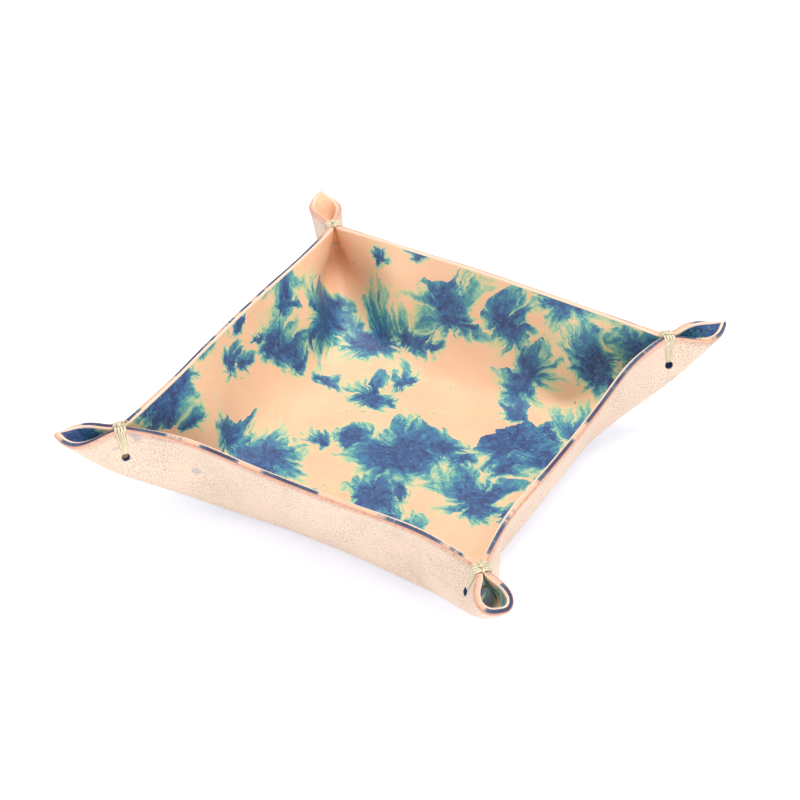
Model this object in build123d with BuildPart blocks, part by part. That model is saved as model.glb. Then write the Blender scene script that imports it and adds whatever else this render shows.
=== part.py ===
from build123d import *
import os
import numpy

# A catch-all tray: one square of leather whose four corners are pinched up, grain side in,
# and laced with waxed thread. Millimetres, +Z up, origin under the middle of the base.

# Leather blank
SIDE = 228.6  # nine-inch square
LEATHER = 3.0  # thickness
BEVEL = 0.7  # cut of the edge beveller on both faces of the rim
BASE_WEAR = 0.1  # the flesh side is pressed flat by this much where it stands

# Lacing of each corner
TIE_FROM_CORNER = 30.0  # along the blank's edge
GRIP_DEPTH = 2.0  # the rims are pressed together down to here
RIM_GAP = 0.3  # left between the two grain faces at the rim
HOLE_DEPTH = 12.5  # from the rim to the punched hole
HOLE_D = 3.5
THREAD_WIDTH = 0.7  # flat waxed thread
THREAD = 0.45  # its thickness
THREAD_GAP = 0.35  # between the thread and the leather
TURN_GAP = 0.05  # between one stretch of thread and the next
TURNS = 4
PITCH_AT_RIM = 1.25  # strands fan out over the rim
PITCH_IN_HOLE = 0.76  # and gather in the hole
BEND_CUT = 0.7  # the thread turns over the rim and into the hole across a chamfer of this leg

# How the wet-formed sheet settles
BASE_HALF = 44.0  # half the width that is pressed flat on the bench
FIRST_FOLD = 60.0  # half the width of the base before the form settles
LEAN = numpy.radians(67.0)  # of the walls in the first fold
EAR_DRAWN = 0.3  # share by which the first fold draws the ears inwards and down
STRETCH = 60.0  # stiffness against stretching
BEND = 8.0  # stiffness against bending
HOLD = 50.0  # stiffness of the lacing
PRESS = 20.0  # stiffness of the bench and of leather against leather
CENTRE = 10.0  # keeps the sheet over the middle of the bench
CELLS = 44
ROUNDS = 240
MEMORY = 12  # rounds that the descent looks back on

# Rings of the loft: squares on the flat blank, from the edge of the base out to the rim
BEND_TO = 66.0  # the walls' foot is past its bend here
BEND_RINGS, WALL_RINGS = 7, 10
POINTS_ALONG = 33  # of each side of a ring
FEEL = 0.5  # reach to either side when the slope of the sheet is taken

HALF = SIDE / 2
CORNERS = {"right": (1, 1), "back": (-1, 1), "left": (-1, -1), "front": (1, -1)}


def unit(vector):
    return numpy.asarray(vector, float) / numpy.linalg.norm(vector)


def across_corner(sign_x, sign_y):
    """Level direction square to a corner's diagonal, towards the wall on its x side."""
    return unit((sign_x, -sign_y, 0))


def settle():
    """Middle surface of the laced blank, as a grid of points: the form with the least
    stretching and bending that the lacing, the bench and the leather itself allow."""
    count = CELLS + 1
    cell = SIDE / CELLS
    along = numpy.linspace(-HALF, HALF, count)
    u, v = (grid.ravel() for grid in numpy.meshgrid(along, along, indexing="ij"))
    total = count * count
    index = numpy.arange(total).reshape(count, count)

    # Fibres along each cell's sides and diagonals keep their length.
    pairs = [(index[:-1], index[1:]), (index[:, :-1], index[:, 1:])]
    pairs += [(index[:-1, :-1], index[1:, 1:]), (index[:-1, 1:], index[1:, :-1])]
    tail = numpy.concatenate([pair[0].ravel() for pair in pairs])
    head = numpy.concatenate([pair[1].ravel() for pair in pairs])
    length = numpy.hypot(u[tail] - u[head], v[tail] - v[head])

    def stencil(nodes, weights):
        rows = numpy.zeros((nodes[0].size, total))
        for node, weight in zip(nodes, weights):
            rows[numpy.arange(node.size), node.ravel()] += weight / cell
        return rows.T @ rows

    # Bending along u and v, and twist.
    twist = 2**0.5
    bending = stencil([index[:-2], index[1:-1], index[2:]], [1, -2, 1])
    bending += stencil([index[:, :-2], index[:, 1:-1], index[:, 2:]], [1, -2, 1])
    bending += stencil(
        [index[:-1, :-1], index[1:, 1:], index[:-1, 1:], index[1:, :-1]],
        [twist, twist, -twist, -twist],
    )
    bending *= BEND

    def weights_at(x, y):
        i, j = int((x + HALF) / cell), int((y + HALF) / cell)
        i, j = min(i, CELLS - 1), min(j, CELLS - 1)
        a, b = (x + HALF) / cell - i, (y + HALF) / cell - j
        row = numpy.zeros(total)
        row[index[i, j]], row[index[i + 1, j]] = (1 - a) * (1 - b), a * (1 - b)
        row[index[i, j + 1]], row[index[i + 1, j + 1]] = (1 - a) * b, a * b
        return row

    # Each tie holds two rims at a leather's thickness from each other.
    apart = LEATHER + RIM_GAP
    inset = HALF - TIE_FROM_CORNER
    held, target = [], []
    for sx, sy in CORNERS.values():
        for depth in (0, GRIP_DEPTH / 2, GRIP_DEPTH):
            edge = HALF - depth
            held.append(weights_at(sx * edge, sy * inset) - weights_at(sx * inset, sy * edge))
            target.append(apart * across_corner(sx, sy))
    held, target = numpy.array(held), numpy.array(target)

    # Near a corner the two walls can't pass through each other.
    from_diagonal = (abs(u) - abs(v)) / 2**0.5
    corner_depth = (SIDE - abs(u) - abs(v)) / 2**0.5
    facing = (corner_depth < 2 * TIE_FROM_CORNER) & (abs(from_diagonal) > 0.9 * cell)
    side = numpy.sign(from_diagonal)
    outward = numpy.stack([numpy.sign(u), -numpy.sign(v), 0 * u], 1) / 2**0.5 * side[:, None]
    room = numpy.where(facing, numpy.minimum(apart, abs(from_diagonal)) / 2, 0)
    base = numpy.maximum(abs(u), abs(v)) < BASE_HALF

    def energy(flat):
        point = flat.reshape(total, 3)
        fibre = point[tail] - point[head]
        now = numpy.linalg.norm(fibre, axis=1)
        pull = (2 * STRETCH * (now - length) / now)[:, None] * fibre
        slope = 2 * bending @ point
        value = STRETCH * ((now - length) ** 2).sum() + (point * slope).sum() / 2
        for k in range(3):
            slope[:, k] += numpy.bincount(tail, pull[:, k], total)
            slope[:, k] -= numpy.bincount(head, pull[:, k], total)
        miss = held @ point - target
        sunk = numpy.minimum(point[:, 2], 0)
        lifted = point[:, 2] * base
        crossed = numpy.where(facing, numpy.minimum((point * outward).sum(1) - room, 0), 0)
        drift = point[:, :2].mean(0)
        value += HOLD * (miss**2).sum() + PRESS * (sunk**2 / 4 + lifted**2 + crossed**2).sum()
        value += CENTRE * total * (drift**2).sum()
        slope += 2 * HOLD * held.T @ miss + 2 * PRESS * crossed[:, None] * outward
        slope[:, 2] += PRESS * (sunk / 2 + 2 * lifted)
        slope[:, :2] += 2 * CENTRE * drift
        return value, slope.ravel()

    # First fold: walls turned up from the base, ears drawn to the diagonals.
    over_u, over_v = (numpy.maximum(abs(w) - FIRST_FOLD, 0) for w in (u, v))
    ear = numpy.minimum(over_u, over_v)
    x = numpy.sign(u) * (abs(u) - over_u * (1 - numpy.cos(LEAN)) + EAR_DRAWN * ear)
    y = numpy.sign(v) * (abs(v) - over_v * (1 - numpy.cos(LEAN)) + EAR_DRAWN * ear)
    z = numpy.maximum(over_u, over_v) * numpy.sin(LEAN) - EAR_DRAWN * ear
    flat = numpy.stack([x, y, z], 1).ravel()

    # Quasi-Newton descent, started from the inverse of the constant part.
    stiff = 2 * bending + 2 * HOLD * held.T @ held
    numpy.add.at(stiff, (tail, tail), 2 * STRETCH)
    numpy.add.at(stiff, (head, head), 2 * STRETCH)
    numpy.add.at(stiff, (tail, head), -2 * STRETCH)
    numpy.add.at(stiff, (head, tail), -2 * STRETCH)
    stiff[numpy.diag_indices(total)] += 1.5 + 2 * PRESS * base
    soft = numpy.linalg.inv(stiff)
    value, slope = energy(flat)
    memory = []
    for _ in range(ROUNDS):
        step = slope.copy()
        shares = []
        for moved, turned in reversed(memory):
            share = (moved @ step) / (turned @ moved)
            shares.append(share)
            step -= share * turned
        step = (soft @ step.reshape(total, 3)).ravel()
        for (moved, turned), share in zip(memory, reversed(shares)):
            step += moved * (share - (turned @ step) / (turned @ moved))
        scale = 1.0
        while True:
            next_value, next_slope = energy(flat - scale * step)
            if next_value <= value - 1e-4 * scale * (slope @ step) or scale < 1e-4:
                break
            scale /= 2
        if (next_slope - slope) @ step < 0:
            memory = (memory + [(-scale * step, next_slope - slope)])[-MEMORY:]
        flat, value, slope = flat - scale * step, next_value, next_slope
    form = flat.reshape(count, count, 3)
    form[:, :, 2] += LEATHER / 2 - BASE_WEAR
    return form.round(3)


def control_points(form):
    """Control points of the natural cubic spline surface through the form's nodes."""
    near = numpy.eye(CELLS + 1, k=1) + numpy.eye(CELLS + 1, k=-1)
    shares = (4 * numpy.eye(CELLS + 1) + near) / 6
    shares[[0, -1]] = numpy.eye(CELLS + 1)[[0, -1]]
    solved = numpy.linalg.inv(shares)
    points = numpy.einsum("ai,bj,ijk->abk", solved, solved, form)
    return numpy.pad(points, ((1, 1), (1, 1), (0, 0)), mode="reflect", reflect_type="odd")


PULLS = control_points(settle())


def sheet(u, v):
    """Points of the middle surface for flat places u, v on the blank (cubic between nodes)."""

    def shares(place):
        at = numpy.clip((numpy.asarray(place, float) + HALF) / SIDE * CELLS, 0, CELLS)
        first = numpy.clip(at.astype(int), 0, CELLS - 1)
        t = at - first
        cubic = [
            (1 - t) ** 3 / 6,
            (4 - 6 * t**2 + 3 * t**3) / 6,
            (1 + 3 * t + 3 * t**2 - 3 * t**3) / 6,
            t**3 / 6,
        ]
        return first, cubic

    first_u, shares_u = shares(u)
    first_v, shares_v = shares(v)
    result = 0
    for i, share_u in enumerate(shares_u):
        for j, share_v in enumerate(shares_v):
            result = result + (share_u * share_v)[..., None] * PULLS[first_u + i, first_v + j]
    return result


def slopes(u, v):
    """Vectors along the sheet in both directions at flat places u, v."""
    ahead_u, behind_u = numpy.clip(u + FEEL, -HALF, HALF), numpy.clip(u - FEEL, -HALF, HALF)
    ahead_v, behind_v = numpy.clip(v + FEEL, -HALF, HALF), numpy.clip(v - FEEL, -HALF, HALF)
    return sheet(ahead_u, v) - sheet(behind_u, v), sheet(u, ahead_v) - sheet(u, behind_v)


def on_face(u, v, lift):
    """Points that lie lift above the middle surface, on the grain side where it is positive."""
    u, v = numpy.broadcast_arrays(u, v)
    normal = numpy.cross(*slopes(u, v))
    normal /= numpy.linalg.norm(normal, axis=-1)[..., None]
    return sheet(u, v) + lift * normal


def vectors(points):
    return [Vector(*map(float, point)) for point in points]


def ring(reach, lift):
    """Four splines round a square of the blank, on the face at this lift. Their points crowd
    towards the corners, where the sheet folds."""
    share = numpy.sin(numpy.linspace(-numpy.pi / 2, numpy.pi / 2, POINTS_ALONG))
    along, out = reach * share, numpy.full(POINTS_ALONG, reach)
    sides = []
    for u, v in ((out, along), (-along, out), (-out, -along), (along, -out)):
        points = on_face(u, v, lift)
        if reach == BASE_HALF:
            points[:, 2] = lift + LEATHER / 2 - BASE_WEAR
        sides.append(Edge.make_spline(vectors(points), parameters=list(share)))
    return sides


# Leather: lofted ring by ring from the base out over the grain face, round the bevelled rim
# and back in over the flesh face.
reaches = [*numpy.linspace(BASE_HALF, BEND_TO, BEND_RINGS)]
reaches += [*numpy.linspace(BEND_TO, HALF - BEVEL, WALL_RINGS)[1:]]
half_thick, land = LEATHER / 2, LEATHER / 2 - BEVEL
rings = [ring(reach, half_thick) for reach in reaches]
rings += [ring(HALF, land), ring(HALF, -land)]
rings += [ring(reach, -half_thick) for reach in reversed(reaches)]
faces = [Face(Wire(rings[0])), Face(Wire(rings[-1]))]
for near, far in zip(rings, rings[1:]):
    faces += [Face.make_surface_from_curves(*pair) for pair in zip(near, far)]


def wall(corner, depth, wall_side):
    """Point and outward normal on one wall of a corner, at a depth below its tie."""
    sx, sy = CORNERS[corner]
    inset, edge = HALF - TIE_FROM_CORNER, HALF - depth
    u, v = (sx * edge, sy * inset) if wall_side > 0 else (sx * inset, sy * edge)
    return sheet(u, v), -unit(numpy.cross(*slopes(u, v)))


with BuildPart() as leather_tray:
    add(Solid(Shell(faces)).fix())
    # A flat base where the leather stands.
    split(bisect_by=Plane.XY, keep=Keep.TOP)
    # One punched hole in each wall of each corner.
    for corner in CORNERS:
        for wall_side in (1, -1):
            point, normal = wall(corner, HOLE_DEPTH, wall_side)
            pull = wall_side * across_corner(*CORNERS[corner])
            with Locations(Plane(origin=tuple(point), z_dir=tuple(normal + pull))):
                Cylinder(HOLE_D / 2, 2 * LEATHER, mode=Mode.SUBTRACT)


def tie(corner):
    """Flat thread: turns through both holes and over both rims, cinched and knotted on top."""
    across = across_corner(*CORNERS[corner])
    rim = (wall(corner, 0, 1)[0] + wall(corner, 0, -1)[0]) / 2
    grip = (wall(corner, GRIP_DEPTH, 1)[0] + wall(corner, GRIP_DEPTH, -1)[0]) / 2
    up = unit(rim - grip)
    ahead = numpy.cross(up, across)
    hole, normal = wall(corner, HOLE_DEPTH, 1)
    stand = THREAD / 2 + THREAD_GAP
    rim_off = (LEATHER + RIM_GAP) / 2 + LEATHER / 2 + stand
    hole_off = (hole - rim) @ across + (LEATHER / 2 + stand) / (normal @ across)
    hole_on, hole_high = (hole - rim) @ ahead, (hole - rim) @ up

    def place(on, high):
        return rim + on * ahead + high * up

    def plane(origin, x_dir, y_dir):
        return Plane(tuple(origin), x_dir=tuple(x_dir), z_dir=tuple(numpy.cross(x_dir, y_dir)))

    with BuildPart() as thread:
        # Each turn lies in a plane of its own: together in the holes, fanned out at the rims.
        for turn in range(TURNS):
            step = turn - (TURNS - 1) / 2
            low = place(hole_on + step * PITCH_IN_HOLE, hole_high)
            high = place(step * PITCH_AT_RIM, stand)
            rise = numpy.linalg.norm(high - low)
            corners = [(hole_off, 0), (rim_off, rise), (-rim_off, rise), (-hole_off, 0)]
            with BuildSketch(plane(low, across, unit(high - low))):
                with BuildLine():
                    Polyline(*corners, close=True)
                chamfer(make_face().vertices(), BEND_CUT)
                offset(amount=THREAD / 2, kind=Kind.INTERSECTION)
                offset(amount=-THREAD, kind=Kind.INTERSECTION, mode=Mode.SUBTRACT)
            extrude(amount=THREAD_WIDTH / 2, both=True)
        # A frapping turn goes under the strands, between the rims, and back over them.
        frap_low = THREAD_GAP - TURN_GAP
        frap_high = THREAD_GAP + 2 * THREAD + 2 * TURN_GAP
        length = (TURNS - 1) * PITCH_AT_RIM + THREAD_WIDTH + 4 * TURN_GAP
        with BuildSketch(plane(place(0, (frap_low + frap_high) / 2), ahead, up)):
            RectangleRounded(length + 2 * THREAD, frap_high - frap_low + 2 * THREAD, THREAD)
            Rectangle(length, frap_high - frap_low, mode=Mode.SUBTRACT)
        extrude(amount=THREAD_WIDTH / 2, both=True)
        # A hitch round the frapping turn's upper run makes the knot.
        width, height = THREAD_WIDTH + 2 * TURN_GAP, THREAD + 2 * TURN_GAP
        with BuildSketch(plane(place(0, frap_high + THREAD / 2), across, up)):
            RectangleRounded(width + 2 * THREAD, height + 2 * THREAD, THREAD)
            Rectangle(width, height, mode=Mode.SUBTRACT)
        extrude(amount=THREAD_WIDTH / 2, both=True)
    thread.part.label = "tie_" + corner
    return thread


os.makedirs("parts", exist_ok=True)
leather_tray.part.label = "leather_tray"
export_step(leather_tray.part, "parts/leather_tray.step")
for corner in CORNERS:
    thread = tie(corner)
    print(corner, "stretches of thread", [round(solid.volume, 2) for solid in thread.part.solids()])
    export_step(thread.part, f"parts/tie_{corner}.step")
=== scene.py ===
import bpy
import numpy
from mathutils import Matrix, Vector


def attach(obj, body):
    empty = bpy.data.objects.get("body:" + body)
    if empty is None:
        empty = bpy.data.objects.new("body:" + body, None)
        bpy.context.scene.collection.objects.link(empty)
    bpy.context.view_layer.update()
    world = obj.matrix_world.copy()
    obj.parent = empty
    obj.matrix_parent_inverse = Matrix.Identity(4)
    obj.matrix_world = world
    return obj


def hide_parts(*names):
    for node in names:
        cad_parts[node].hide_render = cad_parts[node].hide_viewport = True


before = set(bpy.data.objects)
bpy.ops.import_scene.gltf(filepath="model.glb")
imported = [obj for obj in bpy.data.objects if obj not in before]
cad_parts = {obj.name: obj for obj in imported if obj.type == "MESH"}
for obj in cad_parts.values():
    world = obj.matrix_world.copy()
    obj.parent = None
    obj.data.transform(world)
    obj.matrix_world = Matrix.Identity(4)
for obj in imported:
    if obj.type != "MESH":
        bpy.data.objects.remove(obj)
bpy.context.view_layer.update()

# ---------------------------------------------------------------------------------------
# The tray itself: one nine-inch square of vegetable-tanned leather, 3 mm thick, grain side
# in. Its four corners are pinched up wet and laced, and the sheet settles into the form
# with the least stretching and bending. The cut edge is bevelled on both faces.
# ---------------------------------------------------------------------------------------
MM = 0.001
SIDE = 228.6
HALF = SIDE / 2
LEATHER = 3.0
BASE_WEAR = 0.1
TIE_FROM_CORNER = 30.0
GRIP_DEPTH = 2.0
RIM_GAP = 0.3
HOLE_DEPTH = 12.5
HOLE_D = 3.5
BASE_HALF = 44.0
FIRST_FOLD = 60.0
LEAN = numpy.radians(67.0)
EAR_DRAWN = 0.3
STRETCH, BEND, HOLD, PRESS, CENTRE = 60.0, 8.0, 50.0, 20.0, 10.0
CELLS = 44
ROUNDS = 240
MEMORY = 12
FEEL = 0.5
CORNERS = {"right": (1, 1), "back": (-1, 1), "left": (-1, -1), "front": (1, -1)}


def unit(vector):
    return numpy.asarray(vector, float) / numpy.linalg.norm(vector)


def across_corner(sign_x, sign_y):
    """Level direction square to a corner's diagonal, towards the wall on its x side."""
    return unit((sign_x, -sign_y, 0))


def settle():
    """Middle surface of the laced blank, as a grid of points: the form with the least
    stretching and bending that the lacing, the bench and the leather itself allow."""
    count = CELLS + 1
    cell = SIDE / CELLS
    along = numpy.linspace(-HALF, HALF, count)
    u, v = (grid.ravel() for grid in numpy.meshgrid(along, along, indexing="ij"))
    total = count * count
    index = numpy.arange(total).reshape(count, count)

    # Fibres along each cell's sides and diagonals keep their length.
    pairs = [(index[:-1], index[1:]), (index[:, :-1], index[:, 1:])]
    pairs += [(index[:-1, :-1], index[1:, 1:]), (index[:-1, 1:], index[1:, :-1])]
    tail = numpy.concatenate([pair[0].ravel() for pair in pairs])
    head = numpy.concatenate([pair[1].ravel() for pair in pairs])
    length = numpy.hypot(u[tail] - u[head], v[tail] - v[head])

    bending = numpy.zeros((total, total))

    def stencil(nodes, weights):
        for row, row_weight in zip(nodes, weights):
            for column, weight in zip(nodes, weights):
                numpy.add.at(bending, (row.ravel(), column.ravel()), row_weight * weight / cell**2)

    # Bending along u and v, and twist.
    twist = 2**0.5
    stencil([index[:-2], index[1:-1], index[2:]], [1, -2, 1])
    stencil([index[:, :-2], index[:, 1:-1], index[:, 2:]], [1, -2, 1])
    stencil(
        [index[:-1, :-1], index[1:, 1:], index[:-1, 1:], index[1:, :-1]],
        [twist, twist, -twist, -twist],
    )
    bending *= BEND

    def weights_at(x, y):
        i, j = int((x + HALF) / cell), int((y + HALF) / cell)
        i, j = min(i, CELLS - 1), min(j, CELLS - 1)
        a, b = (x + HALF) / cell - i, (y + HALF) / cell - j
        row = numpy.zeros(total)
        row[index[i, j]], row[index[i + 1, j]] = (1 - a) * (1 - b), a * (1 - b)
        row[index[i, j + 1]], row[index[i + 1, j + 1]] = (1 - a) * b, a * b
        return row

    # Each tie holds two rims at a leather's thickness from each other.
    apart = LEATHER + RIM_GAP
    inset = HALF - TIE_FROM_CORNER
    held, target = [], []
    for sx, sy in CORNERS.values():
        for depth in (0, GRIP_DEPTH / 2, GRIP_DEPTH):
            edge = HALF - depth
            held.append(weights_at(sx * edge, sy * inset) - weights_at(sx * inset, sy * edge))
            target.append(apart * across_corner(sx, sy))
    held, target = numpy.array(held), numpy.array(target)

    # Near a corner the two walls can't pass through each other.
    from_diagonal = (abs(u) - abs(v)) / 2**0.5
    corner_depth = (SIDE - abs(u) - abs(v)) / 2**0.5
    facing = (corner_depth < 2 * TIE_FROM_CORNER) & (abs(from_diagonal) > 0.9 * cell)
    side = numpy.sign(from_diagonal)
    outward = numpy.stack([numpy.sign(u), -numpy.sign(v), 0 * u], 1) / 2**0.5 * side[:, None]
    room = numpy.where(facing, numpy.minimum(apart, abs(from_diagonal)) / 2, 0)
    base = numpy.maximum(abs(u), abs(v)) < BASE_HALF

    def energy(flat):
        point = flat.reshape(total, 3)
        fibre = point[tail] - point[head]
        now = numpy.linalg.norm(fibre, axis=1)
        pull = (2 * STRETCH * (now - length) / now)[:, None] * fibre
        slope = 2 * bending @ point
        value = STRETCH * ((now - length) ** 2).sum() + (point * slope).sum() / 2
        for k in range(3):
            slope[:, k] += numpy.bincount(tail, pull[:, k], total)
            slope[:, k] -= numpy.bincount(head, pull[:, k], total)
        miss = held @ point - target
        sunk = numpy.minimum(point[:, 2], 0)
        lifted = point[:, 2] * base
        crossed = numpy.where(facing, numpy.minimum((point * outward).sum(1) - room, 0), 0)
        drift = point[:, :2].mean(0)
        value += HOLD * (miss**2).sum() + PRESS * (sunk**2 / 4 + lifted**2 + crossed**2).sum()
        value += CENTRE * total * (drift**2).sum()
        slope += 2 * HOLD * held.T @ miss + 2 * PRESS * crossed[:, None] * outward
        slope[:, 2] += PRESS * (sunk / 2 + 2 * lifted)
        slope[:, :2] += 2 * CENTRE * drift
        return value, slope.ravel()

    # First fold: walls turned up from the base, ears drawn to the diagonals.
    over_u, over_v = (numpy.maximum(abs(w) - FIRST_FOLD, 0) for w in (u, v))
    ear = numpy.minimum(over_u, over_v)
    x = numpy.sign(u) * (abs(u) - over_u * (1 - numpy.cos(LEAN)) + EAR_DRAWN * ear)
    y = numpy.sign(v) * (abs(v) - over_v * (1 - numpy.cos(LEAN)) + EAR_DRAWN * ear)
    z = numpy.maximum(over_u, over_v) * numpy.sin(LEAN) - EAR_DRAWN * ear
    flat = numpy.stack([x, y, z], 1).ravel()

    # Quasi-Newton descent, started from the inverse of the constant part.
    stiff = 2 * bending + 2 * HOLD * held.T @ held
    numpy.add.at(stiff, (tail, tail), 2 * STRETCH)
    numpy.add.at(stiff, (head, head), 2 * STRETCH)
    numpy.add.at(stiff, (tail, head), -2 * STRETCH)
    numpy.add.at(stiff, (head, tail), -2 * STRETCH)
    stiff[numpy.diag_indices(total)] += 1.5 + 2 * PRESS * base
    soft = numpy.linalg.inv(stiff)
    value, slope = energy(flat)
    memory = []
    for _ in range(ROUNDS):
        step = slope.copy()
        shares = []
        for moved, turned in reversed(memory):
            share = (moved @ step) / (turned @ moved)
            shares.append(share)
            step -= share * turned
        step = (soft @ step.reshape(total, 3)).ravel()
        for (moved, turned), share in zip(memory, reversed(shares)):
            step += moved * (share - (turned @ step) / (turned @ moved))
        scale = 1.0
        while True:
            next_value, next_slope = energy(flat - scale * step)
            if next_value <= value - 1e-4 * scale * (slope @ step) or scale < 1e-4:
                break
            scale /= 2
        if (next_slope - slope) @ step < 0:
            memory = (memory + [(-scale * step, next_slope - slope)])[-MEMORY:]
        flat, value, slope = flat - scale * step, next_value, next_slope
    form = flat.reshape(count, count, 3)
    form[:, :, 2] += LEATHER / 2 - BASE_WEAR
    return form.round(3)


def control_points(form):
    """Control points of the natural cubic spline surface through the form's nodes."""
    near = numpy.eye(CELLS + 1, k=1) + numpy.eye(CELLS + 1, k=-1)
    shares = (4 * numpy.eye(CELLS + 1) + near) / 6
    shares[[0, -1]] = numpy.eye(CELLS + 1)[[0, -1]]
    solved = numpy.linalg.inv(shares)
    points = numpy.einsum("ai,bj,ijk->abk", solved, solved, form)
    return numpy.pad(points, ((1, 1), (1, 1), (0, 0)), mode="reflect", reflect_type="odd")


PULLS = control_points(settle())


def sheet(u, v):
    """Points of the middle surface for flat places u, v on the blank (cubic between nodes)."""

    def shares(place):
        at = numpy.clip((numpy.asarray(place, float) + HALF) / SIDE * CELLS, 0, CELLS)
        first = numpy.clip(at.astype(int), 0, CELLS - 1)
        t = at - first
        cubic = [
            (1 - t) ** 3 / 6,
            (4 - 6 * t**2 + 3 * t**3) / 6,
            (1 + 3 * t + 3 * t**2 - 3 * t**3) / 6,
            t**3 / 6,
        ]
        return first, cubic

    first_u, shares_u = shares(u)
    first_v, shares_v = shares(v)
    result = 0
    for i, share_u in enumerate(shares_u):
        for j, share_v in enumerate(shares_v):
            result = result + (share_u * share_v)[..., None] * PULLS[first_u + i, first_v + j]
    return result


def slopes(u, v):
    """Vectors along the sheet in both directions at flat places u, v."""
    ahead_u, behind_u = numpy.clip(u + FEEL, -HALF, HALF), numpy.clip(u - FEEL, -HALF, HALF)
    ahead_v, behind_v = numpy.clip(v + FEEL, -HALF, HALF), numpy.clip(v - FEEL, -HALF, HALF)
    return sheet(ahead_u, v) - sheet(behind_u, v), sheet(u, ahead_v) - sheet(u, behind_v)


def on_face(u, v, lift):
    """Points that lie lift above the middle surface, on the grain side where it is positive."""
    u, v = numpy.broadcast_arrays(u, v)
    normal = numpy.cross(*slopes(u, v))
    normal /= numpy.linalg.norm(normal, axis=-1)[..., None]
    return sheet(u, v) + lift * normal


def wall(corner, depth, wall_side):
    """Point and outward normal on one wall of a corner, at a depth below its tie."""
    sx, sy = CORNERS[corner]
    inset, edge = HALF - TIE_FROM_CORNER, HALF - depth
    u, v = (sx * edge, sy * inset) if wall_side > 0 else (sx * inset, sy * edge)
    return sheet(u, v), -unit(numpy.cross(*slopes(u, v)))


# The mesh: a fine grid for the grain face, one for the flesh face, and rings round the rim.
GRID = 181
EDGE_INSET = 1.05
WANDER = 0.12
RIM_RINGS = [
    (0.62, 1.47),
    (0.28, 1.24),
    (0.05, 0.92),
    (0.0, 0.62),
    (0.02, 0.0),
    (0.0, -0.62),
    (0.05, -0.92),
    (0.28, -1.24),
    (0.62, -1.47),
]


def rim_walk(reach):
    """Flat places once round a square of the blank, as many as the grid's border has."""
    run = reach * numpy.linspace(-1, 1, GRID)[:-1]
    out = numpy.full(GRID - 1, reach)
    u = numpy.concatenate([run, out, -run, -out])
    v = numpy.concatenate([-out, run, out, -run])
    return u, v


def leather_mesh():
    """The tray's skin, with each point's place on the blank and its depth in the leather."""
    places = (HALF - EDGE_INSET) * numpy.linspace(-1, 1, GRID)
    grid_u, grid_v = numpy.meshgrid(places, places, indexing="ij")
    index = numpy.arange(GRID * GRID).reshape(GRID, GRID)
    border = numpy.concatenate([index[:-1, 0], index[-1, :-1], index[:0:-1, -1], index[0, :0:-1]])
    flat_u, flat_v = [grid_u.ravel()], [grid_v.ravel()]
    points = [on_face(grid_u, grid_v, LEATHER / 2).reshape(-1, 3)]
    depth = [numpy.zeros(GRID * GRID)]
    rings = [border]
    count = GRID * GRID
    for inset, lift in RIM_RINGS:
        u, v = rim_walk(HALF - inset)
        if inset > 0:
            # the beveller's cut wanders a little
            wander = WANDER * numpy.sin(u / 9.1 + 1.3 * v / 17.0) * numpy.sin(v / 6.7 + 0.4)
            on_x = abs(u) >= abs(v)
            u, v = u - wander * numpy.sign(u) * on_x, v - wander * numpy.sign(v) * ~on_x
        flat_u.append(u)
        flat_v.append(v)
        points.append(on_face(u, v, lift))
        depth.append(numpy.full(u.size, 0.5 - lift / LEATHER))
        rings.append(numpy.arange(count, count + u.size))
        count += u.size
    flat_u.append(grid_u.ravel())
    flat_v.append(grid_v.ravel())
    points.append(on_face(grid_u, grid_v, -LEATHER / 2).reshape(-1, 3))
    depth.append(numpy.ones(GRID * GRID))
    rings.append(border + count)
    flesh = index + count

    quads, finish = [], []
    for nodes, turn, name in ((index, 1, 0), (flesh, -1, 2)):
        square = numpy.stack([nodes[:-1, :-1], nodes[1:, :-1], nodes[1:, 1:], nodes[:-1, 1:]], -1)
        quads.append(square.reshape(-1, 4)[:, ::turn])
        finish.append(numpy.full(len(quads[-1]), name))
    for near, far in zip(rings, rings[1:]):
        quads.append(numpy.stack([near, far, numpy.roll(far, -1), numpy.roll(near, -1)], -1))
        finish.append(numpy.full(len(near), 1))
    quads, finish = numpy.concatenate(quads), numpy.concatenate(finish)
    points = numpy.concatenate(points)
    points[:, 2] = numpy.maximum(points[:, 2], 0)
    mesh = bpy.data.meshes.new("leather_tray_skin")
    mesh.from_pydata((points * MM).tolist(), [], quads.tolist())
    mesh.polygons.foreach_set("material_index", finish.astype(numpy.int32))
    mesh.polygons.foreach_set("use_smooth", numpy.ones(len(quads), bool))
    flat = numpy.stack([numpy.concatenate(flat_u), numpy.concatenate(flat_v)], -1) / SIDE + 0.5
    corner_of = quads.ravel()
    mesh.uv_layers.new(name="blank").uv.foreach_set("vector", flat[corner_of].ravel())
    mesh.attributes.new("depth", "FLOAT", "POINT").data.foreach_set("value", numpy.concatenate(depth))
    mesh.update()
    return mesh


leather = bpy.data.objects.new("leather_tray_formed", leather_mesh())
bpy.context.collection.objects.link(leather)


PUNCH_SIDES = 40
PUNCH_REACH = 6.0


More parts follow.
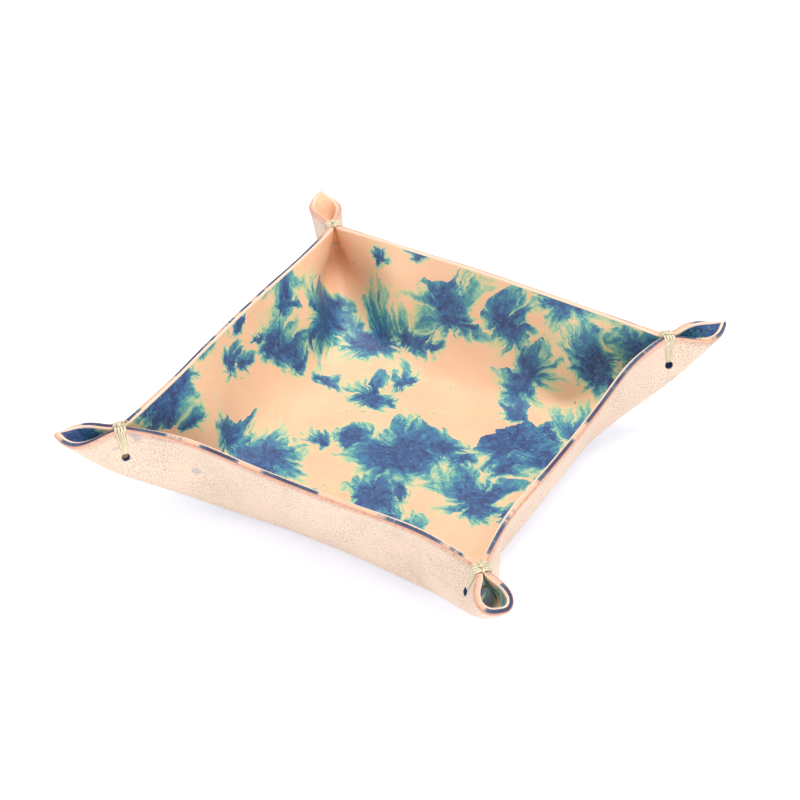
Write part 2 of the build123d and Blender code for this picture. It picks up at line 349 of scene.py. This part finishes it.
def punch(piece):
    """Cuts the eight lacing holes with round punches, set square to the leather."""
    vertices, faces = [], []
    turn = numpy.linspace(0, 2 * numpy.pi, PUNCH_SIDES, endpoint=False)
    sides = range(PUNCH_SIDES)
    for corner in CORNERS:
        for wall_side in (1, -1):
            point, normal = wall(corner, HOLE_DEPTH, wall_side)
            axis = unit(normal + wall_side * across_corner(*CORNERS[corner]))
            side = unit(numpy.cross(axis, (0, 0, 1)))
            other = numpy.cross(axis, side)
            round_ = numpy.outer(numpy.cos(turn), side) + numpy.outer(numpy.sin(turn), other)
            low = len(vertices)
            high = low + PUNCH_SIDES
            for reach in (-PUNCH_REACH, PUNCH_REACH):
                vertices += ((point + reach * axis + HOLE_D / 2 * round_) * MM).tolist()
            for k in sides:
                after = (k + 1) % PUNCH_SIDES
                faces.append([low + k, low + after, high + after, high + k])
            faces.append([low + k for k in sides][::-1])
            faces.append([high + k for k in sides])
    mesh = bpy.data.meshes.new("punches")
    mesh.from_pydata(vertices, [], faces)
    mesh.validate()
    cutter = bpy.data.objects.new("punches", mesh)
    bpy.context.collection.objects.link(cutter)
    cut = piece.modifiers.new("holes", "BOOLEAN")
    cut.operation, cut.solver, cut.object = "DIFFERENCE", "EXACT", cutter
    cut.material_mode = "TRANSFER"
    graph = bpy.context.evaluated_depsgraph_get()
    holed = bpy.data.meshes.new_from_object(piece.evaluated_get(graph), depsgraph=graph)
    piece.modifiers.clear()
    piece.data = holed
    bpy.data.objects.remove(cutter)


class Value:
    """A number in a material, so that shader maths reads as an expression."""

    def __init__(self, shader, socket):
        self.shader, self.socket = shader, socket

    def math(self, operation, *others, first=None):
        values = [self, *others] if first is None else [first, self]
        return self.shader.node("ShaderNodeMath", {"operation": operation}, *values).value()

    def __add__(self, other):
        return self.math("ADD", other)

    __radd__ = __add__

    def __mul__(self, other):
        return self.math("MULTIPLY", other)

    __rmul__ = __mul__

    def __sub__(self, other):
        return self.math("SUBTRACT", other)

    def __rsub__(self, other):
        return self.math("SUBTRACT", first=other)

    def __truediv__(self, other):
        return self.math("DIVIDE", other)

    def max(self, other):
        return self.math("MAXIMUM", other)

    def min(self, other):
        return self.math("MINIMUM", other)

    def abs(self):
        return self.math("ABSOLUTE")

    def over(self, low, high):
        """0 at low, 1 at high, smooth between."""
        settings = {"interpolation_type": "SMOOTHSTEP"}
        made = self.shader.node("ShaderNodeMapRange", settings, Value=self, From_Min=low, From_Max=high)
        return made.value()


class Made:
    """A node that has been placed, with its outputs by name."""

    def __init__(self, shader, made):
        self.shader, self.made = shader, made

    def value(self, name=None):
        outputs = [o for o in self.made.outputs if o.enabled]
        return Value(self.shader, self.made.outputs[name] if name else outputs[0])

    def out(self, name=None):
        return self.value(name).socket


class Shader:
    """One material's nodes. node() takes a type, its settings, then its sockets' values."""

    def __init__(self, name):
        self.material = bpy.data.materials.new(name)
        self.material.use_nodes = True
        self.tree = self.material.node_tree
        self.tree.nodes.clear()
        self.surface = self.node("ShaderNodeBsdfPrincipled", {})
        output = self.tree.nodes.new("ShaderNodeOutputMaterial")
        self.tree.links.new(self.surface.made.outputs[0], output.inputs[0])

    def put(self, socket, value):
        if isinstance(value, Value):
            value = value.socket
        if isinstance(value, bpy.types.NodeSocket):
            self.tree.links.new(value, socket)
        else:
            socket.default_value = value

    def node(self, kind, settings, *values, **named):
        made = self.tree.nodes.new(kind)
        for name, setting in settings.items():
            if name == "stops":
                ramp = made.color_ramp
                while len(ramp.elements) < len(setting):
                    ramp.elements.new(0.5)
                for element, (place, colour) in zip(ramp.elements, setting):
                    element.position, element.color = place, (*colour, 1)
            else:
                setattr(made, name, setting)
        sockets = [s for s in made.inputs if s.enabled]
        for socket, value in zip(sockets, values):
            self.put(socket, value)
        for name, value in named.items():
            self.put(next(s for s in sockets if s.name == name.replace("_", " ")), value)
        return Made(self, made)

    def finish(self, **named):
        for name, value in named.items():
            self.put(self.surface.made.inputs[name.replace("_", " ")], value)
        return self.material

    def vector(self, operation, *values):
        return self.node("ShaderNodeVectorMath", {"operation": operation}, *values)

    def vector_turn(self, place, angle):
        """Places turned about Z."""
        settings = {"rotation_type": "Z_AXIS"}
        return self.node("ShaderNodeVectorRotate", settings, Vector=place, Angle=float(angle)).out()

    def blank(self):
        """Places on the flat blank in millimetres, from its UV map."""
        uv = self.node("ShaderNodeUVMap", {"uv_map": "blank"}).out()
        return self.vector("MULTIPLY_ADD", uv, (SIDE, SIDE, 0), (-HALF, -HALF, 0)).out()

    def noise(self, place, scale, detail=2.0, roughness=0.5, distortion=0.0):
        sizes = {"Scale": scale, "Detail": detail, "Roughness": roughness, "Distortion": distortion}
        return self.node("ShaderNodeTexNoise", {}, Vector=place, **sizes)

    def cells(self, place, spacing, randomness=1.0):
        """Random points, one to each square of this side."""
        settings = {"voronoi_dimensions": "2D"}
        sizes = {"Scale": 1 / spacing, "Randomness": randomness}
        return self.node("ShaderNodeTexVoronoi", settings, Vector=place, **sizes)

    def ramp(self, factor, *stops):
        return self.node("ShaderNodeValToRGB", {"stops": stops}, factor).out("Color")

    def mix(self, factor, first, second, blend="MIX"):
        made = self.tree.nodes.new("ShaderNodeMix")
        made.data_type, made.blend_type = "RGBA", blend
        for at, value in ((0, factor), (6, first), (7, second)):
            value = (*value, 1) if isinstance(value, tuple) and len(value) == 3 else value
            self.put(made.inputs[at], value)
        return made.outputs[2]


def tone(red, green, blue):
    """A colour as the eye reads it, 0 to 255, turned into light."""
    share = numpy.array([red, green, blue]) / 255
    light = numpy.where(share <= 0.04045, share / 12.92, ((share + 0.055) / 1.055) ** 2.4)
    return tuple(float(part) for part in light)


# Grain face: pale tan with a satin dressing, marbled with ink that ran towards one side.
FLOW = (-0.5, 0.866)  # the way the ink bled
BLOTS = [  # spacing, radius, share kept, seed
    (44.0, 21.5, 0.82, 1),
    (33.0, 15.0, 0.62, 4),
    (20.0, 8.0, 0.42, 9),
]


def marbling(shader, flat):
    """Ink at flat places in mm: how much there is, 0 for bare leather and 1 for a full blot;
    the fine veins it crept along; and the pale mist round each blot."""
    place = shader.vector_turn(flat, -numpy.arctan2(-FLOW[0], FLOW[1]))
    for scale, detail, reach in ((0.035, 1.0, 24.0), (0.16, 2.0, 9.0), (0.8, 3.0, 2.0)):
        colour = shader.noise(place, scale, detail, 0.55).out("Color")
        centred = shader.vector("SUBTRACT", colour, (0.5, 0.5, 0.5)).out()
        pushed = shader.vector("MULTIPLY", centred, (reach, reach, 0)).out()
        place = shader.vector("ADD", place, pushed).out()
    stretched = shader.vector("MULTIPLY", place, (1, 0.1, 1)).out()
    streaks = shader.noise(stretched, 0.42, 4.0, 0.6).value().over(0.32, 0.68)

    def from_corner(corner):
        sx, sy = CORNERS[corner]
        return shader.vector("SUBTRACT", flat, (sx * HALF, sy * HALF, 0)).out()

    total, veins, mist = None, None, None
    bare = shader.vector("LENGTH", from_corner("back")).value("Value").over(38, 62)
    for spacing, radius, kept, seed in BLOTS:
        moved = shader.vector("ADD", place, (seed * 31.7, seed * 17.3, 0)).out()
        cells = shader.cells(moved, spacing, 0.85)
        away = shader.vector("SUBTRACT", moved, cells.out("Position")).out()
        reach = shader.vector("LENGTH", away).value("Value")
        way = shader.vector("NORMALIZE", away).out()
        chance = shader.node("ShaderNodeSeparateXYZ", {}, cells.out("Color"))
        key = shader.vector("MULTIPLY", cells.out("Color"), (40, 40, 40)).out()
        round_it = shader.vector("ADD", way, key).out()
        lobes = shader.noise(round_it, 1.5, 2.0, 0.5).value().over(0.3, 0.7)
        fingers = shader.noise(round_it, 5.0, 3.0, 0.6).value().over(0.3, 0.7)
        size = radius * (0.6 + 0.6 * chance.value("X")) * (0.3 + 0.5 * lobes + 0.42 * fingers)
        size = size * chance.value("Y").over(1 - kept - 0.01, 1 - kept + 0.01) * bare
        rise = shader.node("ShaderNodeSeparateXYZ", {}, way).value("Y").over(-0.2, 0.9)
        bleed = size * (1.1 + rise * (0.15 + 0.95 * streaks)) + 0.5
        inside = ((bleed - reach) / (bleed - size * 0.45)).max(0).min(1)
        # veins run out from the middle of each blot and fork
        fan = shader.noise(round_it, 9.0, 2.0, 0.6).value()
        vein = inside * (fan - 0.5).abs().over(0.0, 0.16)
        veins = vein if veins is None else veins.max(vein)
        halo = ((bleed + 1.0 + 4.0 * rise - reach) / (1.5 + 4.5 * rise)).max(0).min(1) * bare
        total = inside if total is None else total.max(inside)
        mist = halo if mist is None else mist.max(halo)
    ragged = shader.noise(place, 0.11, 4.0, 0.65).value()
    for corner, reach in (("left", 30.0), ("right", 26.0), ("front", 24.0)):
        away = shader.vector("LENGTH", from_corner(corner)).value("Value")
        inside = ((reach * (2.6 * ragged - 0.3) - away) / 7.0).max(0).min(1)
        total = total.max(inside * (0.42 + 0.58 * streaks))
        veins = veins.max(inside * streaks)
    return total, veins, mist


grain = Shader("grain_face")
flat = grain.blank()
ink, veins, mist = marbling(grain, flat)
mottle = grain.noise(flat, 0.035, 4.0, 0.55).value()
tan = grain.ramp(mottle, (0.3, tone(242, 188, 151)), (0.7, tone(248, 203, 166)))
wash = grain.noise(flat, 0.28, 4.0, 0.65, 1.2).value().over(0.3, 0.7)
deep = ink * (0.8 + 0.2 * wash) - (1 - veins) * ink * 0.16 + (wash - 0.5) * ink * 0.16
INK_STOPS = (
    (0.0, tone(236, 204, 156)),
    (0.12, tone(204, 206, 158)),
    (0.26, tone(144, 194, 168)),
    (0.42, tone(82, 152, 158)),
    (0.58, tone(66, 118, 156)),
    (0.74, tone(60, 94, 142)),
    (0.95, tone(50, 66, 112)),
)
inked = grain.ramp(deep, *INK_STOPS)
colour = grain.mix(mist * 0.55, tan, tone(218, 212, 160))
colour = grain.mix(ink.over(0.0, 0.2), colour, inked)
speck = grain.cells(flat, 1 / 0.24)
dot = 1 - speck.value("Distance").over(0.04, 0.09)
lucky = grain.node("ShaderNodeSeparateXYZ", {}, speck.out("Color")).value("X").over(0.8, 0.82)
colour = grain.mix(dot * lucky * ink * 0.6, colour, tone(170, 204, 204))
smooth = {"feature": "SMOOTH_F1"}
pores = grain.node("ShaderNodeTexVoronoi", smooth, Vector=flat, Scale=1.9, Smoothness=0.6)
relief = pores.value("Distance") * 0.6 + grain.noise(flat, 3.5, 5.0, 0.6).value() * 0.5
relief = relief + grain.noise(flat, 0.12, 3.0, 0.5).value() * 1.5
bump = grain.node("ShaderNodeBump", {}, Strength=0.35, Distance=0.0002, Height=relief)
gloss = 0.46 + (grain.noise(flat, 0.4, 4.0, 0.6).value() - 0.5) * 0.22 - ink * 0.04
grain.finish(Base_Color=colour, Roughness=gloss, Normal=bump.out(), IOR=1.45)

# Cut edge: bevelled on the grain side and the flesh side, raw in the middle, where ink soaked in; a
# painted highlight runs along the grain bevel.
edge = Shader("cut_edge")
flat = edge.blank()
depth = edge.node("ShaderNodeAttribute", {"attribute_name": "depth"}).value("Fac")
down = edge.node("ShaderNodeCombineXYZ", {}, 0.0, 0.0, depth * LEATHER).out()
fibres = edge.noise(edge.vector("ADD", flat, down).out(), 0.95, 4.0, 0.75, 0.3).value()
layer = depth + (fibres - 0.5) * 0.16
# Colours from grain (0) to flesh (1): the pale cream near 0.17, where the grain bevel meets the cut face,
# is partly the bevel's own colour and partly a painted highlight; the peach face and the reddish flesh
# bevel are the leather's own.
EDGE_TONES_AND_BEVEL_HIGHLIGHT = (
    (0.0, tone(246, 206, 180)),
    (0.17, tone(250, 214, 192)),
    (0.24, tone(232, 186, 156)),
    (0.62, tone(228, 180, 152)),
    (0.76, tone(205, 148, 123)),
    (1.0, tone(232, 188, 164)),
)
colour = edge.ramp(layer, *EDGE_TONES_AND_BEVEL_HIGHLIGHT)
colour = edge.mix(fibres.over(0.5, 0.68) * depth.over(0.45, 0.75) * 0.75, colour, tone(170, 102, 82))
back = edge.vector("SUBTRACT", flat, (-HALF, HALF, 0)).out()
stretched = edge.vector("MULTIPLY", back, (0.24, 1, 1)).out()
clean = edge.vector("LENGTH", stretched).value("Value").over(38, 50)
soak = edge.noise(flat, 0.028, 3.0, 0.6).value() + (edge.noise(flat, 0.5, 4.0, 0.7).value() - 0.5) * 0.14
soaked = soak.over(0.44, 0.5) * clean
band = layer.over(0.2, 0.28) * (1 - layer.over(0.66, 0.84))
dye = edge.ramp(soak, (0.45, tone(92, 142, 146)), (0.5, tone(48, 82, 112)), (0.58, tone(38, 48, 84)))
colour = edge.mix(soaked * band * 0.97, colour, dye)
bump = edge.node("ShaderNodeBump", {}, Strength=0.6, Distance=0.0003, Height=fibres)
edge.finish(Base_Color=colour, Roughness=0.75, Normal=bump.out())

# Flesh face: suede of short fibres, pale and pinkish, with reddish flecks, scratches and drips.
flesh = Shader("flesh_face")
flat = flesh.blank()
cloud = flesh.noise(flat, 0.05, 4.0, 0.6).value()
colour = flesh.ramp(cloud, (0.3, tone(250, 225, 203)), (0.7, tone(254, 238, 218)))
nap = flesh.noise(flat, 1.3, 6.0, 0.8, 0.3).value()
colour = flesh.mix(nap.over(0.46, 0.66) * 0.5, colour, tone(222, 170, 146))
grit = flesh.noise(flat, 1.5, 2.0, 0.75).value() + (cloud - 0.5) * 0.3
flecks = grit.over(0.53, 0.63)
colour = flesh.mix(flecks * 0.55, colour, tone(176, 112, 92))
off_middle = flesh.node("ShaderNodeSeparateXYZ", {}, flesh.vector("ABSOLUTE", flat).out())
at_rim = off_middle.value("X").max(off_middle.value("Y")).over(HALF - 3.6, HALF - 1.2)
frayed = at_rim * (0.3 + 0.6 * flecks)
colour = flesh.mix(frayed, colour, tone(205, 144, 118))
pale = flesh.noise(flat, 1.7, 3.0, 0.7).value()
colour = flesh.mix((1 - pale.over(0.32, 0.42)) * 0.6, colour, tone(255, 240, 226))
drop = flesh.noise(flat, 0.06, 3.0, 0.5).value().over(0.68, 0.73)
colour = flesh.mix(drop * 0.4, colour, tone(130, 152, 176))
scratch = flesh.noise(flesh.vector("MULTIPLY", flat, (0.05, 1.2, 1)).out(), 1.0, 3.0, 0.5).value()
height = nap + flecks * -0.3 + scratch.over(0.62, 0.68) * -0.4
bump = flesh.node("ShaderNodeBump", {}, Strength=0.8, Distance=0.0005, Height=height)
flesh.finish(Base_Color=colour, Roughness=0.92, Normal=bump.out(), Sheen_Weight=0.1, Sheen_Roughness=0.5)

for finish in (grain, edge, flesh):
    leather.data.materials.append(finish.material)
punch(leather)
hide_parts("leather_tray")
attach(leather, "root")

# ---------------------------------------------------------------------------------------
# Corner lacing: flat waxed linen thread. At each corner it goes four times through both
# holes and over both rims, once round those strands between the rims, and ends in a knot.
# ---------------------------------------------------------------------------------------
TURNS = 4
PITCH_AT_RIM = 1.3
PITCH_AT_HOLE = 0.62
THREAD_WIDTH = 1.12
THREAD_THICK = 0.42
STEPS_BETWEEN = 7
hand = numpy.random.default_rng(12)


def smooth_loop(stops):
    """A closed Catmull-Rom line through the stops."""
    stops = numpy.asarray(stops, float)
    before, after, beyond = (numpy.roll(stops, shift, axis=0) for shift in (1, -1, -2))
    line = []
    for t in numpy.arange(STEPS_BETWEEN) / STEPS_BETWEEN:
        line.append(
            stops
            + t / 2 * (after - before)
            + t**2 / 2 * (2 * before - 5 * stops + 4 * after - beyond)
            + t**3 / 2 * (3 * stops - before - 3 * after + beyond)
        )
    return numpy.stack(line, 1).reshape(-1, 3)


def hole_middle(corner, ahead):
    """Inside the corner, half way between its two holes."""
    sx, sy = CORNERS[corner]
    middle = (wall(corner, HOLE_DEPTH, 1)[0] + wall(corner, HOLE_DEPTH, -1)[0]) / 2
    return middle + numpy.array([sx, sy, 0]) / 2**0.5 * ahead + (0, 0, HOLE_D / 2 - 0.7)


def strand_runs(corner):
    """Every closed run of one corner's thread: its line, the way its flat faces, its width."""
    sx, sy = CORNERS[corner]
    across = across_corner(sx, sy)
    rim = (wall(corner, 0, 1)[0] + wall(corner, 0, -1)[0]) / 2
    grip = (wall(corner, GRIP_DEPTH, 1)[0] + wall(corner, GRIP_DEPTH, -1)[0]) / 2
    up = unit(rim - grip)
    out = unit(numpy.array([sx, sy, 0]) - up * (up @ (sx, sy, 0)))

    def place(over, ahead, high):
        return rim + over * across + ahead * out + high * up

    def on_wall(depth, ahead, wall_side, lift):
        """Against the flesh face of one wall, this far below the rim."""
        along, edge = HALF - TIE_FROM_CORNER + ahead, HALF - depth
        u, v = (sx * edge, sy * along) if wall_side > 0 else (sx * along, sy * edge)
        return on_face(numpy.array(u), numpy.array(v), -LEATHER / 2 - lift)

    runs = []
    for turn in range(TURNS):
        step = turn - (TURNS - 1) / 2
        stops, widths = [], []
        for wall_side in (1, -1):
            lift = 0.24 + 0.16 * (turn % 2) + hand.uniform(0, 0.05)
            wander = step * 0.16 + hand.uniform(-0.14, 0.14)
            at_hole = step * PITCH_AT_HOLE
            wide = step * PITCH_AT_RIM
            hole = wall(corner, HOLE_DEPTH, wall_side)[0]
            hole_top = HOLE_DEPTH - HOLE_D / 2
            half = [(hole_middle(corner, at_hole * 0.5), 0.62)]
            half.append((hole + (HOLE_D / 2 - 0.55) * up + at_hole * 0.55 * out, 0.62))
            half.append((on_wall(hole_top + 0.25, at_hole * 0.75, wall_side, lift * 0.6), 0.66))
            for share in (0.12, 0.35, 0.6, 0.82):
                ahead = at_hole + (wide - at_hole) * share + wander * 4 * share * (1 - share)
                half.append((on_wall(hole_top * (1 - share), ahead, wall_side, lift), 0.7 + 0.3 * share))
            half.append((on_wall(0.75, wide, wall_side, 0.24), 0.96))
            half.append((place(wall_side * 3.3, wide, 0.05), 0.94))
            half.append((place(wall_side * 2.75, wide, 0.36), 0.96))
            half.append((place(wall_side * 1.5, wide * 0.98, 0.5 + 0.1 * (turn % 2)), 1.04))
            half.append((place(wall_side * 0.55, wide * 0.93, 0.5), 1.0))
            half = half[1:] if wall_side > 0 else half
            ordered = half if wall_side > 0 else half[::-1]
            stops += [stop for stop, _ in ordered]
            widths += [width for _, width in ordered]
        line = smooth_loop(stops)
        width = smooth_loop(numpy.stack([widths] * 3, 1))[:, 0]
        runs.append((line, out, width))

    # Frapping turn: under the strands in the groove between the rims, and back over them.
    reach = (TURNS - 1) / 2 * PITCH_AT_RIM + 0.95
    stops = [(0, -reach, 0.45), (0, -reach + 0.35, 0.02), (0, 0, -0.12)]
    stops += [(0, reach - 0.35, 0.02), (0, reach, 0.45), (0.15, reach - 0.5, 0.98)]
    stops += [(0.25, 0.7, 1.05), (-0.2, -0.7, 1.08), (-0.1, -reach + 0.5, 0.98)]
    runs.append((smooth_loop([place(*stop) for stop in stops]), across, 0.85))

    # The knot: two hitches round the frapping turn, drawn down, and the eye they close.
    for ahead, lean, high, size in ((0.45, 0.5, 1.15, 0.82), (-0.35, -0.4, 1.2, 0.86)):
        round_ = [(size * numpy.cos(a), size * numpy.sin(a)) for a in 2 * numpy.pi * numpy.arange(8) / 8]
        stops = [place(0.95 * x, ahead + lean * x / size, high + 0.55 * y) for x, y in round_]
        runs.append((smooth_loop(stops), unit(out + lean * across), 0.72))
    round_ = [(numpy.cos(a), numpy.sin(a)) for a in 2 * numpy.pi * numpy.arange(10) / 10]
    stops = [place(1.12 * y, -reach + 0.15 - 1.25 * x, 1.0 + 0.55 * x) for x, y in round_]
    runs.append((smooth_loop(stops), unit(up + 0.35 * out), 0.78))
    return runs


def sweep_tree():
    """Geometry nodes that turn lines into flat waxed thread."""
    tree = bpy.data.node_groups.new("flat_thread", "GeometryNodeTree")
    tree.is_modifier = True
    for name, kind, way in (
        ("Lines", "NodeSocketGeometry", "INPUT"),
        ("Width", "NodeSocketFloat", "INPUT"),
        ("Thickness", "NodeSocketFloat", "INPUT"),
        ("Material", "NodeSocketMaterial", "INPUT"),
        ("Thread", "NodeSocketGeometry", "OUTPUT"),
    ):
        tree.interface.new_socket(name, in_out=way, socket_type=kind)

    def add(kind, settings=(), **inputs):
        made = tree.nodes.new(kind)
        for name, setting in dict(settings).items():
            setattr(made, name, setting)
        for name, value in inputs.items():
            socket = next(s for s in made.inputs if s.enabled and s.name == name.replace("_", " "))
            if isinstance(value, bpy.types.NodeSocket):
                tree.links.new(value, socket)
            else:
                socket.default_value = value
        return made

    given = add("NodeGroupInput").outputs

    def named(name, kind):
        return add("GeometryNodeInputNamedAttribute", {"data_type": kind}, Name=name).outputs[0]

    facing, wide = named("facing", "FLOAT_VECTOR"), named("wide", "FLOAT")
    curve = add("GeometryNodeMeshToCurve", Mesh=given["Lines"]).outputs[0]
    curve = add("GeometryNodeSetCurveNormal", {"mode": "FREE"}, Curve=curve, Normal=facing).outputs[0]
    run = add("GeometryNodeSplineParameter").outputs["Length"]
    keep_run = add("GeometryNodeCaptureAttribute")
    keep_run.capture_items.new("FLOAT", "Run")
    tree.links.new(curve, keep_run.inputs["Geometry"])
    tree.links.new(run, keep_run.inputs["Run"])
    circle = add("GeometryNodeCurvePrimitiveCircle", Resolution=14, Radius=0.5).outputs["Curve"]
    size = add("ShaderNodeCombineXYZ", X=given["Thickness"], Y=given["Width"], Z=1.0).outputs[0]
    section = add("GeometryNodeTransform", Geometry=circle, Scale=size).outputs[0]
    round_ = add("GeometryNodeSplineParameter").outputs["Factor"]
    keep_round = add("GeometryNodeCaptureAttribute")
    keep_round.capture_items.new("FLOAT", "Round")
    tree.links.new(section, keep_round.inputs["Geometry"])
    tree.links.new(round_, keep_round.inputs["Round"])
    swept = add(
        "GeometryNodeCurveToMesh",
        Curve=keep_run.outputs["Geometry"],
        Profile_Curve=keep_round.outputs["Geometry"],
        Scale=wide,
    )
    run, round_ = keep_run.outputs["Run"], keep_round.outputs["Round"]
    where = add("ShaderNodeCombineXYZ", X=run, Y=round_).outputs[0]
    stored = add(
        "GeometryNodeStoreNamedAttribute",
        {"data_type": "FLOAT_VECTOR", "domain": "POINT"},
        Geometry=swept.outputs[0],
        Name="thread_place",
        Value=where,
    ).outputs[0]
    smooth = add("GeometryNodeSetShadeSmooth", Geometry=stored).outputs[0]
    real = add("GeometryNodeRealizeInstances", Geometry=smooth).outputs[0]
    dressed = add("GeometryNodeSetMaterial", Geometry=real, Material=given["Material"]).outputs[0]
    tree.links.new(dressed, add("NodeGroupOutput").inputs["Thread"])
    return tree


thread = Shader("waxed_thread")
along = thread.node("ShaderNodeAttribute", {"attribute_name": "thread_place"}).out("Vector")
body = thread.node("ShaderNodeTexCoord", {}).out("Object")
ply = thread.vector("MULTIPLY_ADD", along, (120, 9, 1), (0, 0, 0)).out()
strand = thread.noise(ply, 1.0, 4.0, 0.6).value()
cloud = thread.noise(body, 420.0, 3.0, 0.6).value()
# Ivory thread tones; the dark khaki stop is painted shade in the crevices between the plies.
THREAD_TONE_AND_CREVICE_SHADE = ((0.32, tone(150, 135, 102)), (0.47, tone(211, 198, 164)), (0.62, tone(239, 230, 206)))
colour = thread.ramp(strand * 0.7 + cloud * 0.3, *THREAD_TONE_AND_CREVICE_SHADE)
bump = thread.node("ShaderNodeBump", {}, Strength=0.7, Distance=0.00012, Height=strand)
thread.finish(Base_Color=colour, Roughness=0.55, Normal=bump.out())

tree = sweep_tree()
for corner in CORNERS:
    vertices, edges, facing, wide = [], [], [], []
    for line, side, width in strand_runs(corner):
        start, count = len(vertices), len(line)
        tangent = numpy.roll(line, -1, axis=0) - numpy.roll(line, 1, axis=0)
        flat_way = numpy.cross(tangent, side)
        flat_way /= numpy.linalg.norm(flat_way, axis=1)[:, None]
        vertices += (line * MM).tolist()
        edges += [(start + k, start + (k + 1) % count) for k in range(count)]
        facing.append(flat_way)
        wide.append(numpy.broadcast_to(width, count))
    mesh = bpy.data.meshes.new("lines")
    mesh.from_pydata(vertices, edges, [])
    kept = mesh.attributes.new("facing", "FLOAT_VECTOR", "POINT")
    kept.data.foreach_set("vector", numpy.concatenate(facing).ravel())
    kept = mesh.attributes.new("wide", "FLOAT", "POINT")
    kept.data.foreach_set("value", numpy.concatenate(wide))
    lacing = bpy.data.objects.new("lacing_" + corner, mesh)
    bpy.context.collection.objects.link(lacing)
    sweep = lacing.modifiers.new("thread", "NODES")
    sweep.node_group = tree
    values = {"Width": THREAD_WIDTH * MM, "Thickness": THREAD_THICK * MM, "Material": thread.material}
    for item in tree.interface.items_tree:
        if item.name in values:
            sweep[item.identifier] = values[item.name]
    graph = bpy.context.evaluated_depsgraph_get()
    swept = bpy.data.meshes.new_from_object(lacing.evaluated_get(graph), depsgraph=graph)
    lacing.modifiers.clear()
    lacing.data = swept
    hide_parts("tie_" + corner)
    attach(lacing, "root")

# ---------------------------------------------------------------------------------------
# Studio: a white floor, soft lamps and the camera.
# ---------------------------------------------------------------------------------------
FLOOR = -0.0002  # just under the base, so that the two faces do not coincide
FLOOR_HALF = 4.0
floor_mesh = bpy.data.meshes.new("floor")
floor_corners = [(x * FLOOR_HALF, y * FLOOR_HALF, FLOOR) for x, y in ((-1, -1), (1, -1), (1, 1), (-1, 1))]
floor_mesh.from_pydata(floor_corners, [], [(0, 1, 2, 3)])
floor = bpy.data.objects.new("floor", floor_mesh)
bpy.context.collection.objects.link(floor)
white = Shader("white_floor")
path = white.node("ShaderNodeLightPath", {})
seen = path.value("Is Camera Ray") + path.value("Is Glossy Ray") + path.value("Is Transmission Ray")
lift = white.mix(seen, (0.0, 0.0, 0.0), (0.36, 0.41, 0.5))
white.finish(
    Base_Color=(0.88, 0.88, 0.9, 1), Roughness=0.9, Emission_Color=lift, Emission_Strength=1.0
)
floor.data.materials.append(white.material)

world = bpy.data.worlds.new("studio")
world.use_nodes = True
nodes, links = world.node_tree.nodes, world.node_tree.links
nodes.clear()
path = nodes.new("ShaderNodeLightPath")
soft, plain = nodes.new("ShaderNodeBackground"), nodes.new("ShaderNodeBackground")
ROOM_LIGHT, BACKGROUND = 0.47, 1.0
for source, strength in ((soft, ROOM_LIGHT), (plain, BACKGROUND)):
    source.inputs["Color"].default_value = (1, 1, 1, 1)
    source.inputs["Strength"].default_value = strength
choose, sky = nodes.new("ShaderNodeMixShader"), nodes.new("ShaderNodeOutputWorld")
seen = path.outputs["Is Camera Ray"]
for kind in ("Is Glossy Ray", "Is Transmission Ray"):
    either = nodes.new("ShaderNodeMath")
    either.operation = "ADD"
    links.new(seen, either.inputs[0])
    links.new(path.outputs[kind], either.inputs[1])
    seen = either.outputs[0]
links.new(seen, choose.inputs[0])
links.new(soft.outputs[0], choose.inputs[1])
links.new(plain.outputs[0], choose.inputs[2])
links.new(choose.outputs[0], sky.inputs[0])
bpy.context.scene.world = world


def lamp(name, place, size, power):
    light = bpy.data.lights.new(name, "AREA")
    light.shape, light.size, light.energy = "DISK", size, power
    piece = bpy.data.objects.new(name, light)
    piece.location = place
    piece.rotation_euler = (-Vector(place)).to_track_quat("-Z", "Y").to_euler()
    bpy.context.collection.objects.link(piece)


lamp("key", (0.15, 0.3, 1.7), 1.2, 25.0)
lamp("front", (-0.35, -1.6, 0.42), 1.2, 10.0)
lamp("side", (1.55, -0.55, 0.45), 1.0, 9.0)

CAMERA_AT = (0.37725, -0.65415, 0.64893)
AZIMUTH, ELEVATION = numpy.radians(29.988), numpy.radians(38.976)
SENSOR, LENS = 36.0, 102.19
camera = bpy.data.objects.new("camera", bpy.data.cameras.new("camera"))
camera.data.sensor_width, camera.data.lens = SENSOR, LENS
camera.data.clip_start, camera.data.clip_end = 0.05, 20.0
level = numpy.cos(ELEVATION)
look = Vector((-numpy.sin(AZIMUTH) * level, numpy.cos(AZIMUTH) * level, -numpy.sin(ELEVATION)))
camera.location = CAMERA_AT
camera.rotation_euler = look.to_track_quat("-Z", "Y").to_euler()
bpy.context.collection.objects.link(camera)
bpy.context.scene.camera = camera
bpy.context.scene.view_settings.view_transform = "Standard"
